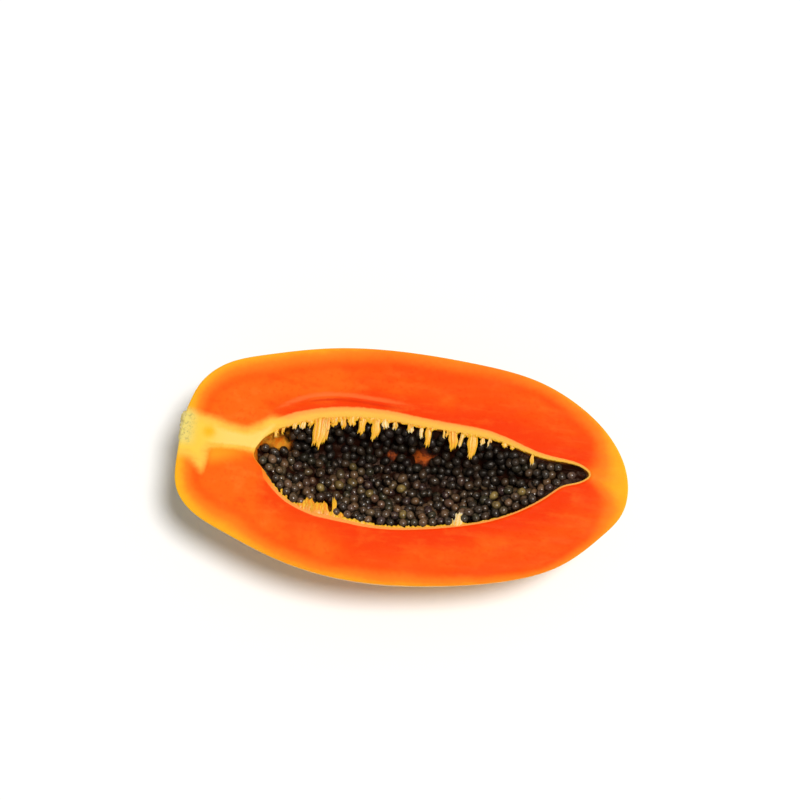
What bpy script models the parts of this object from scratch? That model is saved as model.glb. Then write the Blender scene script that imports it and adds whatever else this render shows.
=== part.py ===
"""Half a papaya, cut lengthwise and lying on its rounded back, with the seeds in its hollow.

The fruit's long axis is X, from the stem end at -X to the blossom end at +X, and Z is up. Meshes are modelled
about the cut plane, and an empty at the height of that plane carries them. Lengths are in metres.
"""

import math

import bmesh
import bpy
import numpy as np
from mathutils import Matrix, Vector

MM = 0.001

# The skin's outline on the cut plane, in millimetres, from the stem end to the blossom end
SKIN_UPPER = [
    (-103.2, -1), (-103.0, 8), (-101.0, 18.5), (-97.0, 29), (-87.5, 38.8), (-69, 45.8), (-38, 52.5),
    (-6, 54.5), (31, 52.4), (59, 47.4), (79, 37.8), (94, 25), (101.8, 12.5), (104.4, -2),
]
SKIN_LOWER = [
    (-103.3, -11), (-101.5, -21), (-96, -28.5), (-79, -38), (-49, -49.2), (-12, -54.5), (23, -52.2), (55, -46),
    (77, -36.7), (95.5, -20), (102.2, -11),
]

# The hollow's outline on the cut plane, the same way
HOLLOW_UPPER = [
    (-67.9, -2.2), (-65.0, 6.2), (-55.5, 13.3), (-40, 18.8), (-12.4, 21.8), (15.6, 20), (44, 17.6), (65, 11.7),
    (78, 10.3), (85.4, 7),
]
HOLLOW_LOWER = [
    (-64.7, -6.0), (-59.2, -12.5), (-51.4, -19.8), (-34.6, -24.9), (-7, -28), (20.6, -24.9), (47.3, -17.6),
    (60.4, -10.6), (73, 0),
]

SKIN_ROUNDNESS = 1.0  # depth of the rounded back, as a share of its half width
HOLLOW_ROUNDNESS = 1.02
CUT_HEIGHT = 53.6 * MM  # the cut face above the surface that the fruit lies on, at its flat spot
SKIN_CELLS = (36, 46)  # around the whole body, and along it
HOLLOW_CELLS = (26, 36)
SPAN_POINTS = 24  # points of a smooth outline from knot to knot

# The stem scar: a low round boss that the cut goes through
SCAR_CENTRE = Vector((-102.2, 7.5, 0)) * MM
SCAR_RADIUS = 7.5 * MM
SCAR_RISE = 2.2 * MM
SCAR_CELLS = (24, 12)

# Strands on the hollow's rim, in millimetres: where along the fruit, length, radius
UPPER_STRANDS = [
    (-47.4, 6, 1.2), (-41.2, 9, 1.5), (-38.6, 12.5, 1.6), (-32.7, 7, 1.2), (-27.5, 5.5, 1.1), (-22.2, 6, 1.2),
    (-14.4, 12, 1.4), (-5.2, 4.5, 1.2), (0.8, 5, 1.0), (9.6, 9.5, 1.4), (18.7, 6.5, 1.2), (22.8, 10, 1.3),
    (30.1, 12, 1.5), (35.7, 6, 1.2), (59.1, 6.5, 1.1),
]
LOWER_STRANDS = [(-52.0, 4, 0.9), (-28.6, 7.5, 0.9), (18.5, 3.5, 0.9)]
STRAND_ROOT = 1.6 * MM  # how far a strand starts inside the wall
STRAND_DEPTH = {"upper": 1.9 * MM, "lower": 1.2 * MM}  # a strand's axis under the cut plane, at its root
STRAND_DROOP = 0.12  # how far the tip hangs, as a share of its length
STRAND_POINTS = 5
STRAND_TAPER = (1.15, 0.6)  # shares of the radius, at the root and at the tip
STRAND_LEAN = 0.2  # most sideways, as a share of the reach
STRAND_BEND = 0.12

# The bed of pulp that the seeds sit in
BED_GAP = 0.35 * MM  # to the hollow's wall
BED_THICKNESS = 2.1 * MM
BED_ENDS = (0.035, 0.955)  # shares of the hollow's length
BED_CELLS = (22, 8)
UPPER_MARGIN = 5.5 * MM  # from the cut plane down to the seeds, at the middle of the upper rim
TIP_MARGIN = 3.6 * MM  # the same at the hollow's two tips
LOWER_MARGIN = 2.7 * MM

# The seeds
SEED_RADIUS = 2.45 * MM
SEED_SIDES = 6
SEED_BANDS = 3
SEED_LIFTS = (3.0 * MM, 3.5 * MM)  # least and most of a seed's centre, in from the hollow's wall
SEED_PITCH = 4.6 * MM  # from seed to seed around a ring
RING_PITCH = 4.0 * MM  # from ring to ring along the fruit
SEED_JITTER = 0.4 * MM
SEED_SPACING = 4.1 * MM  # the least that is left between two centres
SEED_PROUD = 0.3 * MM  # how far a seed may stand out of the cut plane
SEED_CLEARANCE = 0.35 * MM
RANDOM_SEED = 7

# Bare spots of the wall, in millimetres on the cut plane: centre, half length, half width
BARE_SPOTS = [((-59, 6), 7, 3.5), ((8.4, 10.2), 6, 4.5), ((-35.3, -21.5), 7.5, 4.2)]


class Profile:
    """A rounded body under the cut plane, whose outline there is a smooth closed curve.

    Rings stand on the chords that join the outline's upper and lower side, each ring half an ellipse."""

    def __init__(self, upper, lower, roundness):
        curve = smooth_loop(np.array(upper + lower[::-1]) * MM)
        tip = (len(upper) - 1) * SPAN_POINTS
        self.roundness = roundness
        self.upper = curve[: tip + 1]
        self.lower = np.vstack([curve[tip:], curve[:1]])[::-1]

    def side(self, curve, share):
        """Points at these shares of a side's length, from the stem end."""
        steps = np.linalg.norm(np.diff(curve, axis=0), axis=1)
        along = np.concatenate([[0], np.cumsum(steps)]) / steps.sum()
        return np.stack([np.interp(share, along, curve[:, k]) for k in (0, 1)], axis=-1)

    def point(self, share, turn):
        """The body's surface: turn is 0 at the upper rim, pi/2 at the bottom and pi at the lower rim."""
        top = self.side(self.upper, share)
        bottom = self.side(self.lower, share)
        middle = (top + bottom) / 2
        half = (top - bottom) / 2
        depth = np.linalg.norm(half, axis=-1) * self.roundness
        flat = middle + half * np.cos(turn)[..., None]
        drop = np.round(depth * np.sin(turn), 7)
        return np.concatenate([flat, -drop[..., None]], axis=-1)

    def depth(self, share):
        """How deep the body is at these shares of its length."""
        return -self.point(share, np.full(np.shape(share), math.pi / 2))[..., 2]

    def length(self):
        """From end to end, straight."""
        return np.linalg.norm(self.upper[-1] - self.upper[0])

    def inward(self, share, turn):
        """The unit normal that points into the body, from differences along both parameters."""
        step = 1e-3
        along = self.point(share + step, turn) - self.point(share - step, turn)
        around = self.point(share, turn + step) - self.point(share, turn - step)
        normal = np.cross(around, along)
        return normal / np.linalg.norm(normal, axis=-1, keepdims=True)

    def share_at(self, curve, x):
        """The share of a side's length at which it has this x."""
        shares = np.linspace(0, 1, 2001)
        return shares[np.argmin(abs(self.side(curve, shares)[:, 0] - x))]


def smooth_loop(knots):
    """SPAN_POINTS points from knot to knot on the smooth closed curve through the knots.

    Each coordinate is a periodic cubic over the chord length, with slopes that keep its bend continuous."""
    count = len(knots)
    step = np.linalg.norm(np.roll(knots, -1, axis=0) - knots, axis=1)
    before = np.roll(step, 1)
    chord = (np.roll(knots, -1, axis=0) - knots) / step[:, None]
    index = np.arange(count)
    system = np.zeros((count, count))
    system[index, index] = 2 * (step + before)
    system[index, index - 1] = step
    system[index, (index + 1) % count] = before
    right = 3 * (before[:, None] * chord + step[:, None] * np.roll(chord, 1, axis=0))
    slope = np.linalg.solve(system, right)
    t = np.linspace(0, 1, SPAN_POINTS, endpoint=False)[None, :, None]
    start, end = knots[:, None], np.roll(knots, -1, axis=0)[:, None]
    rise, fall = (slope * step[:, None])[:, None], (np.roll(slope, -1, axis=0) * step[:, None])[:, None]
    points = (
        (2 * t**3 - 3 * t**2 + 1) * start
        + (t**3 - 2 * t**2 + t) * rise
        + (3 * t**2 - 2 * t**3) * end
        + (t**3 - t**2) * fall
    )
    return points.reshape(-1, 2)


def material(name, colour, roughness):
    made = bpy.data.materials.new(name)
    made.use_nodes = True
    shader = made.node_tree.nodes["Principled BSDF"]
    shader.inputs["Base Color"].default_value = (*colour, 1)
    shader.inputs["Roughness"].default_value = roughness
    shader.inputs["Metallic"].default_value = 0
    made.diffuse_color = (*colour, 1)
    return made


def add_object(name, shape, collection, parent=None):
    """An object from a bmesh, which is freed."""
    mesh = bpy.data.meshes.new(name)
    shape.to_mesh(mesh)
    shape.free()
    made = bpy.data.objects.new(name, mesh)
    collection.objects.link(made)
    made.parent = parent
    return made


def apply_modifiers(target):
    """Replaces an object's mesh by its evaluated one, with no modifiers left."""
    bpy.context.view_layer.update()
    graph = bpy.context.evaluated_depsgraph_get()
    mesh = bpy.data.meshes.new_from_object(target.evaluated_get(graph))
    target.modifiers.clear()
    target.data = mesh


def join(target, others, operation):
    """Cuts a collection's objects from the target or fuses them to it, and removes them."""
    boolean = target.modifiers.new(operation.lower(), "BOOLEAN")
    boolean.operand_type = "COLLECTION"
    boolean.collection = others
    boolean.operation = operation
    apply_modifiers(target)
    for helper in list(others.objects):
        bpy.data.objects.remove(helper)


def face_outward(shape):
    """Turns a closed shape's faces round together if they point inward."""
    if shape.calc_volume(signed=True) < 0:
        bmesh.ops.reverse_faces(shape, faces=shape.faces)


def close_cut(shape, rim):
    """Fills the rim on the cut plane with one face that points up."""
    made = bmesh.ops.contextual_create(shape, geom=rim)["faces"]
    for face in made:
        face.normal_update()
        if face.normal.z < 0:
            face.normal_flip()


def round_body(profile, cells):
    """A whole closed body: a sphere whose latitude becomes the share of length, and longitude the turn."""
    shape = bmesh.new()
    bmesh.ops.create_uvsphere(shape, u_segments=cells[0], v_segments=cells[1], radius=1)
    place = np.array([vertex.co for vertex in shape.verts])
    share = np.arccos(np.clip(-place[:, 2], -1, 1)) / math.pi
    turn = np.arctan2(-place[:, 1], place[:, 0])
    for vertex, point in zip(shape.verts, profile.point(share, turn)):
        vertex.co = point
    face_outward(shape)
    return shape


def half_body(profile):
    """The fruit under the cut plane, closed by one flat face, and flattened where it lies."""
    shape = round_body(profile, SKIN_CELLS)
    above = [vertex for vertex in shape.verts if vertex.co.z > 0]
    bmesh.ops.delete(shape, geom=above, context="VERTS")
    close_cut(shape, [edge for edge in shape.edges if edge.is_boundary])
    for vertex in shape.verts:
        vertex.co.z = max(vertex.co.z, -CUT_HEIGHT)
    return shape


def stem_scar():
    """The lower half of a low dome that faces the stem end."""
    shape = bmesh.new()
    bmesh.ops.create_uvsphere(shape, u_segments=SCAR_CELLS[0], v_segments=SCAR_CELLS[1], radius=1)
    scale = Matrix.Diagonal((SCAR_RISE, SCAR_RADIUS, SCAR_RADIUS, 1))
    bmesh.ops.transform(shape, matrix=Matrix.Translation(SCAR_CENTRE) @ scale, verts=shape.verts)
    everything = shape.verts[:] + shape.edges[:] + shape.faces[:]
    bmesh.ops.bisect_plane(shape, geom=everything, plane_co=(0, 0, 0), plane_no=(0, 0, 1), clear_outer=True)
    close_cut(shape, [edge for edge in shape.edges if edge.is_boundary])
    return shape


def strand_path(hollow, x, length, side, rng):
    """Points from inside the wall out over the hollow, square to the rim, a little bent and drooping."""
    curve, turn, across = (hollow.upper, 0.0, -1) if side == "upper" else (hollow.lower, math.pi, 1)
    share = hollow.share_at(curve, x)
    root = hollow.point(np.array(share), np.array(turn))
    lean = rng.uniform(-STRAND_LEAN, STRAND_LEAN)
    bend = rng.uniform(-STRAND_BEND, STRAND_BEND)
    reach = np.linspace(-STRAND_ROOT, length, STRAND_POINTS)
    t = reach / length
    return np.stack(
        [
            root[0] + reach * lean + length * bend * t**2,
            root[1] + reach * across,
            -STRAND_DEPTH[side] - length * STRAND_DROOP * np.clip(t, 0, 1) ** 2,
        ],
        axis=-1,
    )


def strand(name, path, radius, collection):
    """A tapered tube along the path, made a closed mesh."""
    curve = bpy.data.curves.new(name, "CURVE")
    curve.dimensions = "3D"
    curve.bevel_depth = radius
    curve.bevel_resolution = 1
    curve.use_fill_caps = True
    spline = curve.splines.new("POLY")
    spline.points.add(len(path) - 1)
    for point, place, width in zip(spline.points, path, np.linspace(*STRAND_TAPER, len(path))):
        point.co = (*place, 1)
        point.radius = width
    tube = bpy.data.objects.new(name, curve)
    collection.objects.link(tube)
    graph = bpy.context.evaluated_depsgraph_get()
    shape = bmesh.new()
    shape.from_mesh(bpy.data.meshes.new_from_object(tube.evaluated_get(graph)))
    bmesh.ops.remove_doubles(shape, verts=shape.verts, dist=1e-6)
    face_outward(shape)
    bpy.data.objects.remove(tube)
    return add_object(name, shape, collection)


def fruit_half(hollow, strand_paths, parts, helpers, origin):
    """Skin, flesh, scar and strands, in one body with the hollow cut out of it."""
    fruit = add_object("papaya_half", half_body(Profile(SKIN_UPPER, SKIN_LOWER, SKIN_ROUNDNESS)), parts, origin)
    fruit.data.materials.append(material("flesh", (0.95, 0.12, 0.012), 0.4))
    add_object("hollow_cutter", round_body(hollow, HOLLOW_CELLS), helpers, origin)
    join(fruit, helpers, "DIFFERENCE")
    add_object("stem_scar", stem_scar(), helpers, origin)
    for number, (path, radius) in enumerate(strand_paths):
        strand(f"strand_{number}", path, radius, helpers).parent = origin
    join(fruit, helpers, "UNION")
    fruit.data.shade_smooth()
    fruit.data.set_sharp_from_angle(angle=math.radians(40))
    return fruit


def seed_zone(hollow, share):
    """The turns between which seeds cover the wall, at these shares of the hollow's length."""
    depth = hollow.depth(share)
    upper = TIP_MARGIN + (UPPER_MARGIN - TIP_MARGIN) * np.sin(math.pi * np.clip(share, 0, 1)) ** 1.5
    first = np.arcsin(np.clip(upper / depth, 0, 0.85))
    last = math.pi - np.arcsin(np.clip(LOWER_MARGIN / depth, 0, 0.85))
    return first, last


def in_bare_spot(place, grow):
    """Whether a point lies over a bare spot of the wall, grown by this many millimetres."""
    return any(
        ((place[0] / MM - x) / (a + grow)) ** 2 + ((place[1] / MM - y) / (b + grow)) ** 2 < 1
        for (x, y), a, b in BARE_SPOTS
    )


def seed_bed(hollow):
    """The bed's open surface: a grid laid over the covered part of the wall, less the bare spots."""
    shape = bmesh.new()
    bmesh.ops.create_grid(shape, x_segments=BED_CELLS[0], y_segments=BED_CELLS[1], size=1)
    place = np.array([vertex.co for vertex in shape.verts])
    share = BED_ENDS[0] + (BED_ENDS[1] - BED_ENDS[0]) * (place[:, 0] + 1) / 2
    first, last = seed_zone(hollow, share)
    turn = first + (last - first) * (place[:, 1] + 1) / 2
    points = hollow.point(share, turn) + BED_GAP * hollow.inward(share, turn)
    for vertex, point in zip(shape.verts, points):
        vertex.co = point
    bare = [face for face in shape.faces if in_bare_spot(face.calc_center_median(), -0.8)]
    bmesh.ops.delete(shape, geom=bare, context="FACES")
    return shape


def seed_places(hollow, keep_clear):
    """Centres of the seeds, and their directions out of the wall.

    They stand in rings along the hollow, every other ring shifted half a pitch, each seed a little off its
    place. One is left out where it would touch the wall or a strand, crowd a neighbour or cover a bare spot."""
    rng = np.random.default_rng(RANDOM_SEED)
    rings = round(hollow.length() * (BED_ENDS[1] - BED_ENDS[0]) / RING_PITCH)
    places, normals = [], []
    for ring, share in enumerate(np.linspace(*BED_ENDS, rings)):
        radius = hollow.depth(share) - SEED_LIFTS[0]
        first, last = seed_zone(hollow, share)
        count = max(1, round(radius * (last - first) / SEED_PITCH))
        shift = 0.5 if count == 1 else 0.25 + 0.5 * (ring % 2)
        turns = first + (last - first) * (np.arange(count) + shift) / count
        turns = turns + rng.uniform(-1, 1, count) * SEED_JITTER / max(radius, SEED_RADIUS)
        shares = share + rng.uniform(-1, 1, count) * SEED_JITTER / hollow.length()
        inward = hollow.inward(shares, turns)
        centres = hollow.point(shares, turns) + rng.uniform(*SEED_LIFTS, count)[:, None] * inward
        for centre, normal in zip(centres, inward):
            room = np.linalg.norm(keep_clear[:, :3] - centre, axis=1) - keep_clear[:, 3]
            near = np.linalg.norm(np.array(places) - centre, axis=1) if places else np.array([1.0])
            fits = room.min() > SEED_RADIUS and near.min() > SEED_SPACING
            if fits and centre[2] < SEED_PROUD - SEED_RADIUS and not in_bare_spot(centre, 1.2):
                places.append(centre)
                normals.append(normal)
    return places, normals, rng


def seeds(hollow, keep_clear, parts, helpers, origin):
    """The bed, thickened, with every seed sunk in it, its axis along the wall's normal and turned at random."""
    mass = add_object("seeds", seed_bed(hollow), parts, origin)
    mass.data.materials.append(material("seed", (0.02, 0.014, 0.01), 0.3))
    wall = mass.modifiers.new("bed", "SOLIDIFY")
    wall.thickness = BED_THICKNESS
    wall.offset = -1
    apply_modifiers(mass)
    places, normals, rng = seed_places(hollow, keep_clear)
    for number, (place, normal) in enumerate(zip(places, normals)):
        shape = bmesh.new()
        bmesh.ops.create_uvsphere(shape, u_segments=SEED_SIDES, v_segments=SEED_BANDS, radius=SEED_RADIUS)
        spin = Matrix.Rotation(rng.uniform(0, math.tau), 4, "Z")
        stand = Vector(normal).to_track_quat("Z", "Y").to_matrix().to_4x4()
        bmesh.ops.transform(shape, matrix=Matrix.Translation(place) @ stand @ spin, verts=shape.verts)
        add_object(f"seed_{number}", shape, helpers, origin)
    print(len(places), "seeds")
    join(mass, helpers, "UNION")
    mass.data.shade_flat()
    return mass


def keep_clear_of(hollow, strand_paths):
    """Points of the wall and of the strands, each with the distance that a seed keeps from it."""
    share, turn = np.meshgrid(np.linspace(0, 1, 160), np.linspace(0, math.pi, 60))
    wall = hollow.point(share.ravel(), turn.ravel())
    kept = [np.column_stack([wall, np.full(len(wall), SEED_CLEARANCE)])]
    fine, coarse = np.linspace(0, 1, 20), np.linspace(0, 1, STRAND_POINTS)
    for path, radius in strand_paths:
        along = np.stack([np.interp(fine, coarse, column) for column in path.T], axis=-1)
        kept.append(np.column_stack([along, np.full(len(along), radius + SEED_CLEARANCE)]))
    return np.vstack(kept)


def main():
    for old in list(bpy.data.objects):
        bpy.data.objects.remove(old)
    parts = bpy.data.collections.new("papaya_half")
    helpers = bpy.data.collections.new("cutters")
    for collection in (parts, helpers):
        bpy.context.scene.collection.children.link(collection)
    helpers.hide_render = True
    origin = bpy.data.objects.new("cut_plane", None)
    origin.location.z = CUT_HEIGHT
    parts.objects.link(origin)
    bpy.context.view_layer.update()

    hollow = Profile(HOLLOW_UPPER, HOLLOW_LOWER, HOLLOW_ROUNDNESS)
    rng = np.random.default_rng(RANDOM_SEED)
    strand_paths = [
        (strand_path(hollow, x * MM, length * MM, side, rng), radius * MM)
        for side, group in (("upper", UPPER_STRANDS), ("lower", LOWER_STRANDS))
        for x, length, radius in group
    ]
    fruit_half(hollow, strand_paths, parts, helpers, origin)
    seeds(hollow, keep_clear_of(hollow, strand_paths), parts, helpers, origin)


main()
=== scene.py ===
"""Half a papaya, cut lengthwise, on its rounded back on a white floor.

The fruit's long axis is X, from the stem end at -X to the blossom end at +X, and Z is up. Shapes are worked out
in millimetres about the cut plane, and put into the meshes in metres above the floor.
"""

import math

import bmesh
import bpy
import numpy as np
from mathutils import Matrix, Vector


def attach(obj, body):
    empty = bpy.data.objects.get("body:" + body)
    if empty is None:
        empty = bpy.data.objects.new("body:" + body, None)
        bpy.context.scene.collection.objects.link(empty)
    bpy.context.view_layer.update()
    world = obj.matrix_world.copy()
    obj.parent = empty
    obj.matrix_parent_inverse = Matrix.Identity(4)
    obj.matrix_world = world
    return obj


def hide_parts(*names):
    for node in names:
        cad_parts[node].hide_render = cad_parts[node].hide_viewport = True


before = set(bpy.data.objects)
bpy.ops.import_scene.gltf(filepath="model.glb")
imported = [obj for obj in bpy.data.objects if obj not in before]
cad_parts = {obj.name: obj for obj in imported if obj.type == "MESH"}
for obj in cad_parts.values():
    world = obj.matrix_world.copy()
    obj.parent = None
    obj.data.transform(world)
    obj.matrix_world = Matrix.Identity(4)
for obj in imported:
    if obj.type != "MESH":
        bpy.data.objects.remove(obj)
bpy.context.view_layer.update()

bl_info = {
    "name": "Papaya half",
    "version": (1, 0, 0),
    "blender": (4, 5, 0),
    "location": "View3D > Sidebar > Papaya",
    "description": "Builds half a papaya with its seeds, and a stage to show it on",
    "category": "Add Mesh",
}

PER_METRE = 1000  # millimetres
CUT_HEIGHT = 53.6  # the cut face above the floor
SPAN_POINTS = 24  # points of a smooth outline from knot to knot

# The finish and the CAD node of the pieces that stand for the fruit, and of those that stand for the seeds
FRUIT = ("fruit", "papaya_half")
SEEDS = ("seed", "seeds")

# The skin's outline on the cut plane, from the stem end to the blossom end
SKIN_UPPER = [
    (-103.2, -1), (-103.0, 8), (-101.0, 18.5), (-97.0, 29), (-87.5, 38.8), (-69, 45.8), (-38, 52.5),
    (-6, 54.5), (31, 52.4), (59, 47.4), (79, 37.8), (94, 25), (101.8, 12.5), (104.4, -2),
]
SKIN_LOWER = [
    (-103.3, -11), (-101.5, -21), (-96, -28.5), (-79, -38), (-49, -49.2), (-12, -54.5), (23, -52.2),
    (55, -46), (77, -36.7), (95.5, -20), (102.2, -11),
]
SKIN_ROUNDNESS = 1.0  # depth of the rounded back, as a share of its half width

# The hollow's outline on the cut plane, the same way
HOLLOW_UPPER = [
    (-67.9, -2.2), (-65.0, 6.2), (-55.5, 13.3), (-40, 18.8), (-12.4, 21.8), (15.6, 20), (44, 17.6),
    (65, 12.0), (76.5, 11.0), (83.2, 9.2), (86, 6.6),
]
HOLLOW_LOWER = [
    (-64.7, -6.0), (-59.2, -12.5), (-51.4, -19.8), (-34.6, -24.9), (-7, -28), (20.6, -24.9), (47.3, -17.6),
    (60.4, -10.6), (68.6, -4.4), (74.5, 0.2), (83.6, 3.8),
]
HOLLOW_ROUNDNESS = 1.02  # the same for the hollow's depth

# Cells of the fruit's surface: along each side of an outline, and across each patch
SIDE_CELLS = 300
BACK_CELLS = 48
FACE_CELLS = 44
WALL_CELLS = 40

# The rind on the cut face: share of the side's length, where in the rind's colours the edge starts, their width
RIND_UPPER = [
    (0, 0, 10), (0.12, 0.03, 10), (0.2, 0.12, 12), (0.3, 0.2, 13), (0.48, 0.36, 11.5), (0.66, 0.42, 13),
    (0.77, 0.44, 12), (0.88, 0.2, 11), (0.95, 0, 18), (1, 0, 30),
]
RIND_LOWER = [
    (0, 0, 10), (0.1, 0, 11), (0.18, 0.05, 12), (0.27, 0.24, 10), (0.39, 0.28, 10.5), (0.53, 0.27, 11),
    (0.68, 0.45, 8.5), (0.79, 0.44, 6), (0.89, 0.38, 8), (0.97, 0.22, 20), (1, 0, 30),
]
# Widths of the lining, as (share of the side's length, width)
LINING_UPPER = [
    (0, 0.4), (0.03, 1.8), (0.06, 3.8), (0.12, 4.6), (0.3, 4.4), (0.5, 3.8), (0.65, 3.2), (0.8, 2.0),
    (0.93, 1.1), (1, 0.8),
]
LINING_LOWER = [
    (0, 0.3), (0.04, 0.4), (0.07, 2.0), (0.12, 1.3), (0.18, 1.4), (0.25, 2.2), (0.33, 1.4), (0.5, 1.0),
    (0.8, 0.7), (1, 0.8),
]

# The outline of the pale core between the stem and the hollow, on the cut plane
CORE_FUNNEL = [
    (-106, 17), (-98.5, 15.6), (-95.5, 14.6), (-87.3, 12.9), (-80.9, 11.2), (-73.0, 10.4), (-67.2, 12.7),
    (-62.1, 16.4), (-56, 16), (-60, 8), (-64.5, 1), (-69, -0.1), (-76, 0.5), (-84, 0.6), (-88.0, 0),
    (-89.6, -2), (-89.8, -6), (-91.0, -11.5), (-94.2, -8.5), (-96.6, -6.4), (-99.5, -5), (-106, -5),
]
CORE_SPOT = (-89.9, 6.9)  # the middle of the yellow spot in it
# Points on the crease above the hollow
CREASE = [
    (-64, 18.5), (-57.5, 22.5), (-51, 26.6), (-46.3, 28.6), (-38, 30.3), (-26.5, 31.1), (-17.6, 30.4),
    (-8.7, 30.0), (4, 30.2), (12, 30.6),
]

# Tongues of fibre on the hollow's rim: x, length, half width at the root and at the end, tone
TONGUE_ROOT = 1.6  # how deep inside the wall a tongue starts
UPPER_TONGUES = [
    (-51.0, 2.6, 1.2, 1.0, 0.9), (-47.4, 3.4, 1.5, 1.3, 1.0), (-43.8, 2.8, 1.4, 1.2, 0.6),
    (-39.4, 13.2, 3.6, 2.3, 0.45), (-37.0, 11.0, 2.2, 1.8, 0.25), (-33.0, 4.2, 1.8, 1.6, 0.5),
    (-29.0, 5.2, 1.5, 1.2, 0.35), (-25.4, 4.0, 1.9, 1.6, 0.7), (-20.0, 7.6, 1.9, 1.5, 0.55),
    (-14.0, 9.6, 2.1, 1.8, 0.5), (-9.9, 3.8, 0.9, 1.8, 1.1), (-5.1, 3.6, 0.8, 1.4, 1.0),
    (2.3, 3.8, 0.9, 1.5, 1.1), (7.2, 5.4, 0.8, 0.9, 1.1), (10.6, 8.6, 1.5, 1.3, 0.5),
    (21.8, 8.2, 2.4, 1.8, 0.4), (26.4, 6.2, 0.8, 1.0, 0.95), (31.2, 10.4, 2.4, 2.0, 0.55),
    (36.0, 3.8, 0.8, 1.2, 0.95), (46.0, 2.2, 1.4, 1.2, 0.6), (49.5, 1.8, 1.0, 1.0, 0.5),
    (59.4, 4.6, 0.7, 1.0, 0.8),
]
LOWER_TONGUES = [
    (-53.5, 3.0, 0.5, 0.5, 0.7), (-51.0, 2.4, 0.5, 0.4, 0.5), (-43.0, 3.4, 3.0, 2.6, 0.3),
    (-40.0, 5.4, 3.2, 2.2, 0.2), (-36.5, 4.4, 3.4, 3.0, 0.25), (-33.0, 5.6, 2.6, 1.8, 0.2),
    (-28.6, 9.0, 1.2, 0.9, 0.5), (-25.0, 3.0, 1.8, 1.2, 0.2), (25.6, 3.4, 1.5, 1.5, 1.0),
    (28.6, 6.0, 2.1, 2.0, 1.15),
]

# How far the ragged fringe reaches over the hollow from the upper rim and from the lower: x, reach
FRINGE_UPPER = [
    (-66, 0.2), (-56, 0.6), (-48, 1.2), (-43, 1.6), (-40, 3.6), (-36, 3.8), (-30, 3.2), (-20, 3.0),
    (-10, 2.4), (-6, 0.9), (4, 0.8), (8, 1.8), (12, 1.6), (15, 0.4), (19, 0.5), (21, 2.0), (33, 2.0),
    (36, 0.7), (60, 0.5), (80, 0.2),
]
FRINGE_LOWER = [
    (-64, 0.1), (-56, 0.7), (-50, 0.6), (-44, 1.8), (-38, 2.8), (-31, 2.6), (-26, 1.5), (-8, 1.6), (14, 1.4),
    (22, 0.8), (25, 1.8), (30, 2.0), (32, 0.5), (50, 0.4), (80, 0.1),
]

# Bare spots of the hollow's wall, on the cut plane: centre, half length, half width
BARE_SPOTS = [
    ((-58.3, 7.4), 10.5, 5.6), ((9.0, 9.6), 7.5, 5.4), ((-5.0, 9.7), 3.8, 3.2), ((-34.6, -20.6), 9.5, 4.8),
    ((28.3, -19.8), 3.6, 3.4),
]

# Between which shares of the hollow's length the seeds and their bed of pulp lie
SEED_SPAN = (0.015, 0.988)
BED_SPAN = (0.02, 0.988)
BED_DEPTH = 1.4  # how far the bed reaches into the wall
# The goes at placing seeds: layer, whether along the rim, number of tries
SEED_GOES = ((0, True, 3000), (0, False, 9000), (1, False, 7000))
# Where pale, unripe seeds show, on the cut plane
PALE_SEEDS = [
    (-23.0, 0.6), (-29.7, -4.9), (-24.6, -6.7), (-14.1, -9.3), (1.8, -7.8), (-36.4, -11.9), (43.7, -7.9),
    (46.0, -11.5), (57.5, -2.5), (2.4, -21.0),
]

# The stage, in metres and radians
FLOOR_REACH = 3  # half the floor's side
AIM = Vector((-0.00424, 0.0315, 0.0536))  # what camera and main light look at
KEY_AZIMUTH, KEY_ELEVATION, KEY_ANGLE = math.radians(100), math.radians(76), math.radians(15)
HORIZON = (0.3, 0.18)  # the heights between which the sky brightens, as its direction's Z
HORIZON_STRENGTH = 1.05


def linear(red, green, blue):
    """A colour given in the 0 to 255 of a picture, as the linear values that Blender works in."""
    share = np.array((red, green, blue)) / 255
    return tuple(np.where(share <= 0.04045, share / 12.92, ((share + 0.055) / 1.055) ** 2.4).tolist())


def colour_property(name, description, *picture):
    """A setting for a colour, whose usual value is given in 0 to 255."""
    return bpy.props.FloatVectorProperty(
        name=name, description=description, subtype="COLOR", size=3, min=0, max=1, default=linear(*picture)
    )


def length_property(name, description, default):
    """A setting for a length in metres."""
    return bpy.props.FloatProperty(
        name=name, description=description, subtype="DISTANCE", unit="LENGTH", min=0, precision=5, default=default
    )


# ---------------------------------------------------------------- settings


class FruitSettings(bpy.types.PropertyGroup):
    """Colours and relief of the fruit."""

    flesh: colour_property("Flesh", "Most of the cut face", 250, 80, 6)
    flesh_deep: colour_property("Deep flesh", "The cut face round the hollow", 244, 52, 1)
    flesh_light: colour_property("Light flesh", "The cut face towards the stem", 250, 104, 16)
    rind: colour_property("Rind", "The cut face just under the skin", 250, 182, 34)
    lining: colour_property("Lining", "The pale band round the hollow", 254, 192, 78)
    core: colour_property("Core", "The pale core between stem and hollow", 250, 198, 76)
    skin: colour_property("Skin", "The ripe skin", 236, 152, 18)
    skin_green: colour_property("Green skin", "The skin that is still green, near the stem", 178, 176, 48)
    lip: length_property("Lip", "How far the hollow's rim is rounded down", 0.0007)
    waviness: length_property("Waviness", "Height of the unevenness that the knife left", 0.00009)


class StrandSettings(bpy.types.PropertyGroup):
    """Number and colour of the strands on the hollow's rim."""

    fine: bpy.props.IntProperty(name="Fine strands", description="Number of fine strands", min=0, default=34)
    fringe: bpy.props.FloatProperty(
        name="Fringe", description="How far the ragged fringe reaches over the hollow, times its usual reach",
        min=0, max=2, default=1,
    )
    colour: colour_property("Colour", "Strands and fringe", 254, 184, 38)
    pale: colour_property("Pale", "The driest strands and the lower fringe", 255, 224, 164)


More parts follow.
